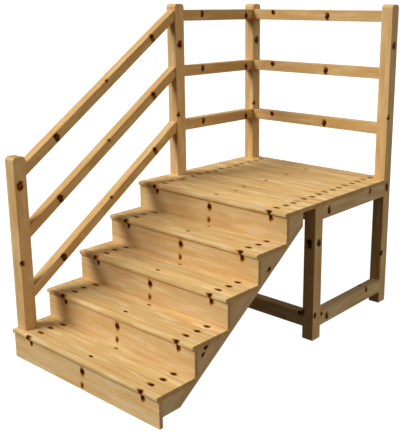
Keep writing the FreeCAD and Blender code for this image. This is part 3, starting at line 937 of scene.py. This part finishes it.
@dataclass
class Posts:
    """The newel, the three tall posts and the short leg."""

    finishes: Finishes
    side: float = 75.0
    top_round: float = 21.0
    eased: float = 3.0
    newel_foot: float = RISE
    cheek: float = 38.0
    # Knots stand in whorls up the trunk, so every tall post shows them at these heights.
    high_knot: float = 1650.0
    low_knot: float = 1218.0
    whorl: float = 875.0

    def build(self) -> None:
        """Make the five uprights."""
        side, high, low = self.side, self.high_knot, self.low_knot
        knots = [
            Knot(side, 36, high, 15),
            Knot(side, 12, low, 10),
            Knot(side, 34, high - self.whorl, 15),
            Knot(side, 9, low - self.whorl, 10),
            Knot(0, 30, high - 0.5 * self.whorl, 14),
            Knot(44, side, low + 90, 13),
        ]
        for node in ("front_left_post", "back_left_post", "back_right_post"):
            self.upright(node, squared(*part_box(node)), knots)
        self.newel()
        self.leg()

    def upright(self, node: str, shape: BMesh, knots: Sequence[Knot]) -> None:
        """Finish a post whose top is rounded front and back.

        Args:
            node: the frame part that it stands for.
            shape: the squared post.
            knots: its knots.
        """
        top = max(vertex.co.z for vertex in shape.verts)
        ease(shape, level_edges(shape, 2, top), self.top_round, 8)
        timber = Timber(node, Slot.POSTS, Grain.UPRIGHT, knots, eased=self.eased)
        timber.finish(shape, self.finishes)

    def newel(self) -> None:
        """Make the newel, which stands on the bottom tread and sends a tail down through it."""
        low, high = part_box("newel_post")
        stand = self.newel_foot * MM
        shape = squared(Vector((low.x, low.y, stand)), high)
        foot = min(shape.faces, key=lambda face: face.calc_center_median().z)
        inside = low.x + self.cheek * MM
        geometry = [foot, *foot.edges, *foot.verts]
        cut = {"plane_co": (inside, 0, 0), "plane_no": (1, 0, 0)}
        bmesh.ops.bisect_plane(shape, geom=geometry, **cut)
        tail = [
            face
            for face in shape.faces
            if face.normal.z < -FACING and face.calc_center_median().x > inside
        ]
        draw_out(shape, tail, (0, 0, low.z - stand))
        side = self.side
        knots = [Knot(side, 32, 918, 15), Knot(side, 9, 494, 10), Knot(0, 40, 700, 12)]
        self.upright("newel_post", shape, knots)

    def leg(self) -> None:
        """Make the leg under the platform's front right corner."""
        node = "front_right_leg"
        knots = [
            Knot(36, 0, 586, 16),
            Knot(self.side, 42, 589, 13),
            Knot(self.side, 18, 155, 11),
            Knot(3, 0, 160, 11),
            Knot(0, 30, 400, 11),
        ]
        timber = Timber(node, Slot.POSTS, Grain.UPRIGHT, knots, eased=self.eased)
        timber.finish(squared(*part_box(node)), self.finishes)


@dataclass
class Railing:
    """Three bars up the flight, along the platform's left side and across its back."""

    finishes: Finishes
    levels: Sequence[str] = ("top", "middle", "bottom")
    deep: float = 66.0
    thick: float = 60.0
    eased: float = 3.0

    def build(self) -> None:
        """Make the nine bars."""
        face = self.thick
        side_knots = [Knot(face, 197, 42, 14), Knot(face, 629, 26, 13), Knot(0, 405, 30, 12)]
        rear_knots = [Knot(191, 0, 47, 13), Knot(625, 0, 26, 15), Knot(445, face, 30, 13)]
        left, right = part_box("front_left_post")[1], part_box("back_right_post")[0]
        for level in self.levels:
            self.sloping(f"stair_rail_{level}")
            side, rear = f"left_rail_{level}", f"back_rail_{level}"
            shape = trimmed(side, 1, left.y, right.y)
            self.finish(side, shape, Grain.FRONT_TO_BACK, side_knots)
            shape = trimmed(rear, 0, left.x, right.x)
            self.finish(rear, shape, Grain.ACROSS_ON_EDGE, rear_knots)

    def finish(self, node: str, shape: BMesh, grain: Grain, knots: Sequence[Knot]) -> None:
        """Finish a bar.

        Args:
            node: the frame part that it stands for.
            shape: the bar.
            grain: which way it runs.
            knots: its knots.
        """
        timber = Timber(node, Slot.RAILS, grain, knots, UPRIGHT_KNOT, self.eased)
        timber.finish(shape, self.finishes)

    def sloping(self, node: str) -> None:
        """Make a bar from the newel up to the platform's front left post.

        Args:
            node: the frame part that it stands for.
        """
        low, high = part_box(node)
        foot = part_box("newel_post")[1].y
        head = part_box("front_left_post")[0].y
        top = high.z
        slope = math.tan(PITCH)
        start = Vector((low.x, foot, top - self.deep * MM))
        shape = squared(start, Vector((high.x, head, top)))
        lower = [vertex for vertex in shape.verts if vertex.co.y < (foot + head) / 2]
        bmesh.ops.translate(shape, vec=(0, 0, -(head - foot) * slope), verts=lower)
        knots = []
        for along, below, wide in ((209, 33, 16), (567, 6, 9), (928, 32, 16)):
            height = top - (head - foot - along * MM) * slope - below * MM
            spot = Vector((high.x, foot + along * MM, height)) - low
            knots.append(Knot(*(spot / MM), wide))
        self.finish(node, shape, Grain.UP_THE_PITCH, knots)


@dataclass
class Flight:
    """The stringers, treads and risers."""

    finishes: Finishes
    width: float = 1146.0
    rises: int = 5
    board: float = 25.0
    riser: float = 22.0
    nosing: float = 12.0
    nosing_round: float = 4.0
    nosing_under_round: float = 11.0
    cheek: float = 38.0
    cheek_waist: float = 40.0
    cheek_lift: float = 54.0
    cheek_end: float = 1094.0
    carriage: float = 45.0
    carriage_waist: float = 120.0
    leg_front: float = 1211.0
    stringer_eased: float = 1.2
    riser_eased: float = 0.5
    tread_eased: float = 0.6

    def build(self) -> None:
        """Make the flight from its stringers outwards."""
        lift = self.cheek_lift
        inner = self.width - self.cheek
        for node, x, face in (("left_cheek", 0.0, 0.0), ("right_cheek", inner, self.cheek)):
            knots = [
                Knot(face, 800 - self.riser, 557 - lift, 10),
                Knot(face, 316 - self.riser, 300 - lift, 11),
                Knot(face, 294 - self.riser, 265 - lift, 8),
            ]
            self.stringer(node, x, self.cheek, lift, self.cheek_waist, self.cheek_end, knots)
        knots = [Knot(self.carriage, 500, 260, 12), Knot(0, 850, 500, 12)]
        x = (self.width - self.carriage) / 2
        waist, end = self.carriage_waist, self.leg_front
        self.stringer("centre_carriage", x, self.carriage, 0.0, waist, end, knots)
        for step in range(1, self.rises + 1):
            self.riser_board(step)
        for step in range(1, self.rises):
            self.tread(step)

    def stringer(
        self,
        node: str,
        x: float,
        thick: float,
        lift: float,
        waist: float,
        end: float,
        knots: Sequence[Knot],
    ) -> None:
        """Make a stringer: stepped above, and cut parallel to the pitch below.

        The cheeks show at the flight's sides, so their steps follow the treads' ends too. The
        middle one is under the treads.

        Args:
            node: the frame part that it stands for.
            x: its left face, in millimetres from the setting-out point.
            thick: its thickness.
            lift: how high its lowest edge is above the ground.
            waist: from the foot of a riser's face down to its sloping underside.
            end: its back end.
            knots: its knots.
        """
        slope = RISE / GOING
        profile = [
            (self.riser, lift),
            ((lift + waist) / slope, lift),
            (end, end * slope - waist),
            (end, self.rises * RISE - self.board),
        ]
        for step in range(self.rises - 1, 0, -1):
            face = step * GOING
            under = step * RISE - self.board
            profile.append((face + self.riser, under + RISE))
            if lift:
                profile += [(face + self.riser, step * RISE), (face, step * RISE), (face, under)]
            else:
                profile.append((face + self.riser, under))
        profile.append((self.riser, RISE - self.board))
        shape = sawn_to([at(x, y, z) for y, z in profile], Vector((thick * MM, 0, 0)))
        grain = Grain.UP_THE_PITCH
        timber = Timber(node, Slot.FRAME, grain, knots, eased=self.stringer_eased)
        timber.finish(shape, self.finishes)

    def riser_board(self, step: int) -> None:
        """Make a riser; the bottom one is drawn lighter than the rest.

        Args:
            step: its number from the ground.
        """
        node = f"riser_{step}"
        knots = [
            Knot(589, 0, 101, 15),
            Knot(581, 0, 27, 11),
            Knot(154, 0, 127, 12),
            Knot(1036, 0, 125, 13),
            Knot(800, self.riser, 70, 13),
        ]
        tone = 1.04 if step == 1 else 0.93
        grain = Grain.ACROSS_ON_EDGE
        timber = Timber(node, Slot.RISERS, grain, knots, UPRIGHT_KNOT, self.riser_eased, tone)
        timber.finish(squared(*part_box(node)), self.finishes)

    def tread(self, step: int) -> None:
        """Make a tread, notched round the cheeks where it runs on under the next riser.

        Args:
            step: its number from the ground.
        """
        front = (step - 1) * GOING - self.nosing
        back = step * GOING
        tongue = back + self.riser
        inner = self.width - self.cheek
        under = step * RISE - self.board
        outline = [
            (0, front),
            (self.width, front),
            (self.width, back),
            (inner, back),
            (inner, tongue),
            (self.cheek, tongue),
            (self.cheek, back),
            (0, back),
        ]
        shape = sawn_to([at(x, y, under) for x, y in outline], Vector((0, 0, self.board * MM)))
        self.round_nosing(shape)
        if step == 1:
            low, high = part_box("newel_post")
            pierced(shape, low + Vector((self.cheek * MM, 0, 0)), high)
        self.finish_board(f"tread_{step}", shape, 0.87)

    def finish_board(self, node: str, shape: BMesh, tone: float) -> None:
        """Finish a tread or a deck board.

        Args:
            node: the frame part that it stands for.
            shape: the board.
            tone: how light its wood is.
        """
        grain = Grain.ACROSS_FLAT
        timber = Timber(node, Slot.TREADS, grain, eased=self.tread_eased, tone=tone)
        timber.finish(shape, self.finishes)

    def round_nosing(self, shape: BMesh) -> None:
        """Round the front edges of a tread, the lower one back almost to the riser.

        Args:
            shape: the tread.
        """
        front = min(vertex.co.y for vertex in shape.verts)
        lower, upper = sorted(level_edges(shape, 1, front), key=lambda edge: edge.verts[0].co.z)
        ease(shape, [lower], self.nosing_under_round, 6)
        ease(shape, [upper], self.nosing_round, 4)


@dataclass
class Platform:
    """The deck boards and the members that carry them."""

    finishes: Finishes
    flight: Flight
    boards: int = 5
    notch_gap: float = 1.0

    def build(self) -> None:
        """Make the deck and its frame."""
        for number in range(1, self.boards + 1):
            self.board(number)
        self.members()

    def board(self, number: int) -> None:
        """Make a deck board, notched round the posts that it meets.

        Args:
            number: its number from the front.
        """
        node = f"deck_board_{number}"
        low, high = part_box(node)
        gap = self.notch_gap * MM
        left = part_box("back_left_post")[1].x + gap
        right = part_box("back_right_post")[0].x - gap
        outline = [(low.x, low.y), (high.x, low.y), (high.x, high.y), (low.x, high.y)]
        if number == 2:
            post_low, post_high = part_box("front_left_post")
            front = post_low.y - gap
            back = post_high.y + gap
            outline += [(low.x, back), (left, back), (left, front), (low.x, front)]
        if number == self.boards:
            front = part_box("back_left_post")[0].y - gap
            outline[2:] = [
                (high.x, front),
                (right, front),
                (right, high.y),
                (left, high.y),
                (left, front),
                (low.x, front),
            ]
        corners = [Vector((x, y, low.z)) for x, y in outline]
        shape = sawn_to(corners, Vector((0, 0, high.z - low.z)))
        if number == 1:
            self.flight.round_nosing(shape)
        self.flight.finish_board(node, shape, 0.9)

    def members(self) -> None:
        """Make the aprons, stretchers, joist, ties and packers under the deck."""
        left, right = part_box("front_left_post")[1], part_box("back_right_post")[0]
        for node, knots in (
            ("front_apron", [Knot(300, 0, 40, 10), Knot(760, 0, 50, 9)]),
            ("back_apron", [Knot(260, 45, 45, 10), Knot(720, 45, 30, 11)]),
            ("front_stretcher", [Knot(1003, 0, 80, 12), Knot(420, 0, 40, 10)]),
        ):
            self.member(node, trimmed(node, 0, left.x, right.x), Grain.ACROSS_ON_EDGE, knots)
        stretcher_knots = [
            Knot(60, 93, 36, 14),
            Knot(60, 533, 66, 12),
            Knot(60, 36, 70, 9),
            Knot(8, 530, 85, 11),
        ]
        posts = (left.y, right.y)
        aprons = (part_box("front_apron")[1].y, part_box("back_apron")[0].y)
        for node, between, knots in (
            ("left_apron", posts, [Knot(0, 180, 40, 10), Knot(0, 500, 30, 9)]),
            ("right_apron", posts, [Knot(45, 84, 43, 15), Knot(45, 528, 66, 11)]),
            ("left_stretcher", posts, [Knot(0, 210, 50, 10), Knot(0, 560, 36, 9)]),
            ("right_stretcher", posts, stretcher_knots),
            ("deck_joist", aprons, [Knot(0, 300, 40, 9)]),
        ):
            self.member(node, trimmed(node, 1, *between), Grain.FRONT_TO_BACK, knots)
        for node in ("left_tie", "right_tie", "left_packer", "right_packer"):
            knots = [Knot(20, 120, 20, 8)]
            self.member(node, squared(*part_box(node)), Grain.FRONT_TO_BACK, knots)

    def member(self, node: str, shape: BMesh, grain: Grain, knots: Sequence[Knot]) -> None:
        """Finish one member under the deck.

        Args:
            node: the frame part that it stands for.
            shape: the squared member.
            grain: which way it runs.
            knots: its knots.
        """
        Timber(node, Slot.FRAME, grain, knots, UPRIGHT_KNOT).finish(shape, self.finishes)


@dataclass
class Fixings:
    """The steel cleats, screws and bolts, and the glue blocks: the frame's own parts."""

    finishes: Finishes
    steel: Sequence[str] = (
        "tread_angles",
        "tread_angle_screws",
        "deck_angles",
        "deck_angle_screws",
        "tie_angles",
        "tie_angle_screws",
        "newel_bolts",
        "tie_screws",
    )

    def build(self) -> None:
        """Give the frame's own parts their finishes."""
        for node in self.steel:
            self.dress(node, "steel")
        self.dress("glue_blocks", "blocks")

    def dress(self, node: str, kind: str) -> None:
        """Put a finish on a part of the frame.

        Args:
            node: the part.
            kind: the kind of part that the finish is for.
        """
        part = frame["nodes"][node]
        part.data.materials.clear()
        part.data.materials.append(self.finishes.get(kind))
        LOG.info("%s: kept from the frame, %s", node, kind)


# ---- Studio ----------------------------------------------------------------------------------


@dataclass(frozen=True)
class Lamp:
    """A far soft light: turn is its bearing left of straight ahead, height above the floor."""

    name: str
    turn: float
    height: float
    strength: float
    softness: float
    colour: str

    def hang(self) -> None:
        """Put the lamp in the studio, aimed at the block."""
        light = bpy.data.lights.new(self.name, "SUN")
        light.energy = self.strength
        light.angle = math.radians(self.softness)
        light.color = linear(self.colour)[:3]
        lamp = bpy.data.objects.new(self.name, light)
        turn, height = math.radians(self.turn), math.radians(self.height)
        level = math.cos(height)
        aim = Vector((math.sin(turn) * level, math.cos(turn) * level, -math.sin(height)))
        lamp.rotation_mode = "QUATERNION"
        lamp.rotation_quaternion = aim.to_track_quat("-Z", "Y")
        bpy.context.scene.collection.objects.link(lamp)


@dataclass
class Studio:
    """A white sweep, a soft key from the front left, an overhead, two weak fills and a camera."""

    sweep: PaperSweep = PaperSweep("paper_matt_studio_sweep")
    reach: float = 60.0
    below_feet: float = 0.5
    lamps: Sequence[Lamp] = (
        Lamp("key", turn=36.0, height=40.0, strength=3.5, softness=34.0, colour="FFFFFC"),
        Lamp("overhead", turn=0.0, height=88.0, strength=0.46, softness=60.0, colour="FFFFFC"),
        Lamp("right_fill", turn=-100.0, height=14.0, strength=0.66, softness=28.0, colour="FFF8EA"),
        Lamp("back_fill", turn=-178.0, height=8.0, strength=0.9, softness=50.0, colour="FFF6E6"),
    )
    ambient: float = 0.13
    under: float = 0.04
    horizon: float = 0.1
    air_colour: str = "FFF6E6"
    eye: tuple[float, float, float] = (2.838, -3.091, 1.905)
    eye_turns: tuple[float, float, float] = (75.69, -0.16, 40.0)
    lens: float = 62.2
    sensor: float = 36.0
    shift: tuple[float, float] = (-0.110, -0.055)

    def build(self) -> None:
        """Set the studio up."""
        self.camera()
        self.paper()
        for lamp in self.lamps:
            lamp.hang()
        self.air()

    def camera(self) -> None:
        """Stand the camera at the front right, a little above head height."""
        data = bpy.data.cameras.new("camera")
        data.lens = self.lens
        data.sensor_width = self.sensor
        data.shift_x, data.shift_y = self.shift
        eye = bpy.data.objects.new("camera", data)
        eye.location = self.eye
        eye.rotation_euler = [math.radians(turn) for turn in self.eye_turns]
        bpy.context.scene.collection.objects.link(eye)
        bpy.context.scene.camera = eye

    def paper(self) -> None:
        """Lay a wide floor and raise a dome of the same paper behind it."""
        material = self.sweep.build()
        floor, dome = bmesh.new(), bmesh.new()
        bmesh.ops.create_circle(floor, cap_ends=True, segments=64, radius=self.reach)
        bmesh.ops.translate(floor, vec=(0, 0, -self.below_feet * MM), verts=floor.verts)
        bmesh.ops.create_uvsphere(dome, u_segments=48, v_segments=24, radius=self.reach)
        bmesh.ops.reverse_faces(dome, faces=dome.faces)
        for name, shape in (("floor", floor), ("backdrop", dome)):
            mesh = bpy.data.meshes.new(name)
            shape.to_mesh(mesh)
            shape.free()
            mesh.materials.append(material)
            thing = bpy.data.objects.new(name, mesh)
            thing.visible_diffuse = False
            thing.visible_glossy = False
            thing.visible_shadow = False
            bpy.context.scene.collection.objects.link(thing)

    def air(self) -> None:
        """Fill the room with soft light, weaker from below."""
        world = bpy.data.worlds.new("studio")
        bpy.context.scene.world = world
        world.use_nodes = True
        tree = world.node_tree
        tree.nodes.clear()
        way = add(tree, "TexCoord", out="Generated")
        much = {
            "Value": add(tree, "SeparateXYZ", {0: way}, out="Z"),
            "From Min": -self.horizon,
            "From Max": self.horizon,
            "To Min": self.under,
            "To Max": self.ambient,
        }
        air = {"Color": linear(self.air_colour), "Strength": add(tree, "MapRange", much)}
        add(tree, "OutputWorld", {"Surface": add(tree, "Background", air)})


def main() -> None:
    """Build the block, sub-assembly by sub-assembly, and the studio round it."""
    logging.basicConfig(level=logging.INFO, format="%(name)s: %(message)s")
    bpy.context.scene.view_settings.view_transform = "Standard"
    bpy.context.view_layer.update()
    finishes = Finishes()
    flight = Flight(finishes)
    for assembly in (
        Posts(finishes),
        Railing(finishes),
        flight,
        Platform(finishes, flight),
        Fixings(finishes),
        Studio(),
    ):
        assembly.build()
        LOG.info("%s done", type(assembly).__name__)


if __name__ == "__main__":
    main()
